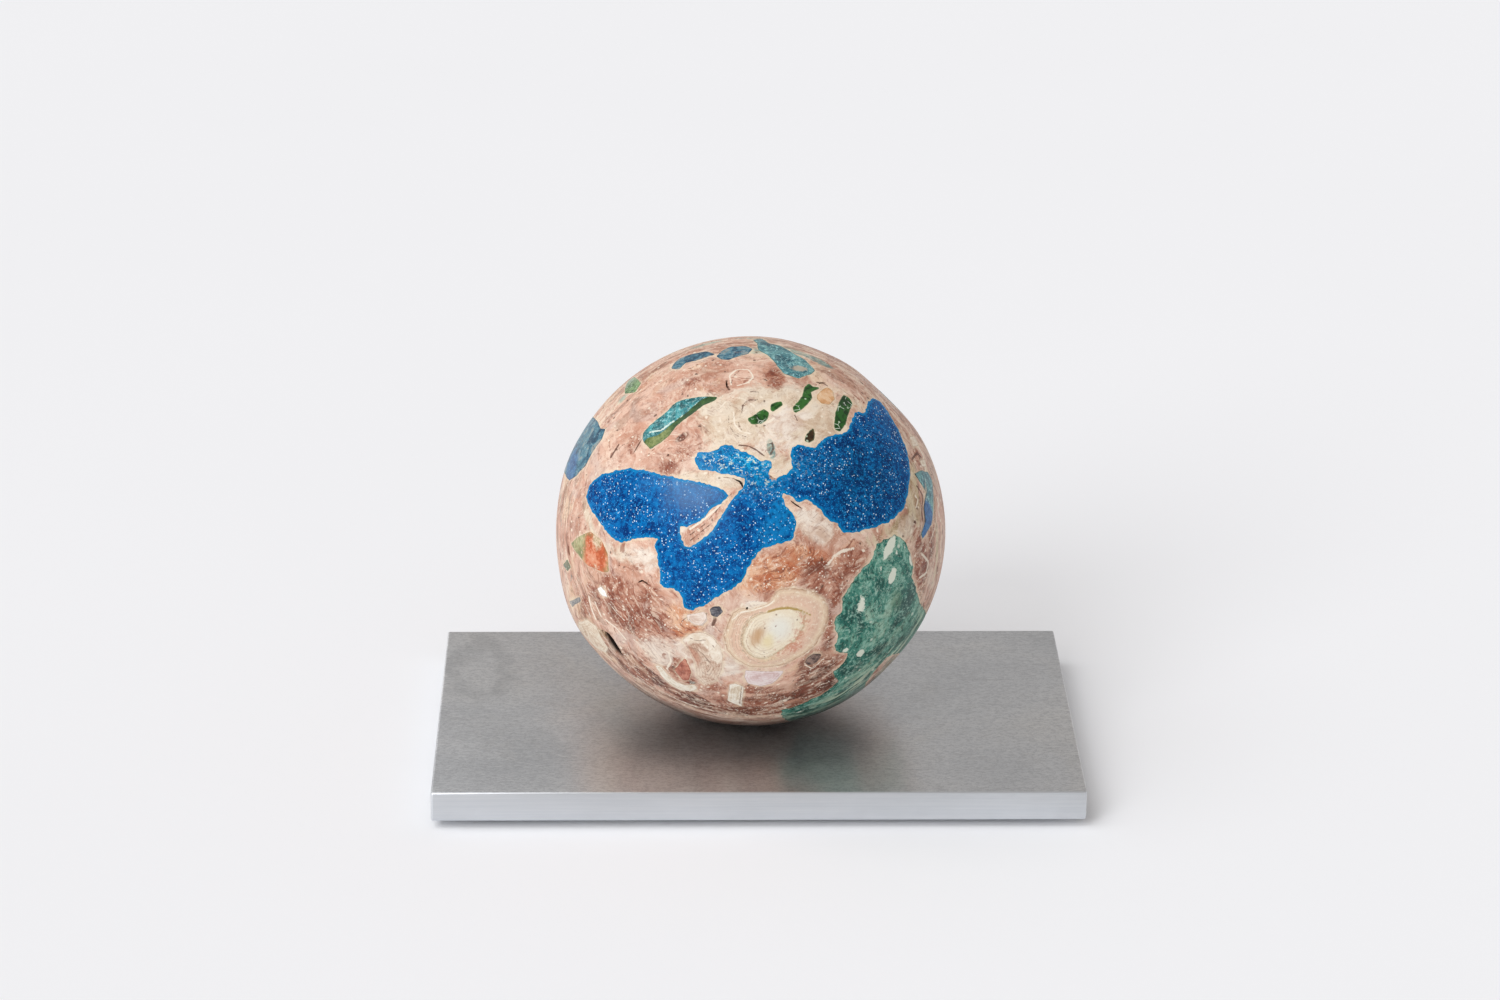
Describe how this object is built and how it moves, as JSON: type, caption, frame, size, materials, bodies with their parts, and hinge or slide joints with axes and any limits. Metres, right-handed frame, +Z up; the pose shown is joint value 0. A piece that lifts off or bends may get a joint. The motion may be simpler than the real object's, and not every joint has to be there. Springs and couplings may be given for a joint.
{
  "type": "decorative sphere",
  "caption": "Hand-ground mortar ball set with flush glass, shell and stone fragments, standing on a low rectangular metal plate with pads under it.",
  "frame": {"origin": "middle of the footprint, at the height the pads stand on", "axes": "+X along the plate's length, +Z up; the ball's best side faces -Y"},
  "size_m": [0.2, 0.125, 0.1333],
  "materials": {
    "mortar": "satin",
    "blue_glass": "satin",
    "teal_glass": "satin",
    "green_glass": "gloss",
    "olive_glass": "gloss",
    "amber_glass": "gloss",
    "green_stone": "satin",
    "shell": "satin",
    "pebble": "satin",
    "brick": "matte",
    "plate_metal": "satin",
    "pad_rubber": "matte"
  },
  "bodies": {
    "root": {"ball": "mortar", "plate": "plate_metal", "pad_front_left": "pad_rubber", "pad_front_right": "pad_rubber", "pad_back_left": "pad_rubber", "pad_back_right": "pad_rubber", "blue_glass": "blue_glass", "blue_glass_left_rim": "blue_glass", "blue_glass_top_left": "blue_glass", "blue_glass_top": "blue_glass", "teal_glass_top": "teal_glass", "sea_glass_long": "teal_glass", "green_glass_short": "green_glass", "green_glass_end": "green_glass", "green_glass_bent": "green_glass", "green_glass_bottle_edge": "green_glass", "brown_glass": "pebble", "green_glass_crumb": "green_glass", "orange_glass": "amber_glass", "amber_pebble": "amber_glass", "olive_chip": "olive_glass", "rim_sliver": "teal_glass", "green_stone": "green_stone", "shell_large": "shell", "pearl_flake": "shell", "shell_tab": "shell", "shell_crescent": "shell", "shell_swirl": "shell", "shell_hook": "shell", "shell_long": "shell", "grey_pebble": "pebble", "plum_pebble": "pebble", "grey_chip": "pebble", "brick_shard": "brick", "white_pebble": "shell", "cream_pebble": "shell", "cream_bean": "shell", "blue_glass_back": "blue_glass", "blue_glass_back_low": "blue_glass", "blue_glass_right": "blue_glass", "teal_glass_back": "teal_glass", "green_glass_back": "green_glass", "green_glass_back_end": "green_glass", "green_stone_back": "green_stone", "shell_back": "shell", "shell_back_high": "shell", "shell_back_left": "shell", "amber_glass_back": "amber_glass", "pebble_back": "pebble"}
  },
  "joints": []
}
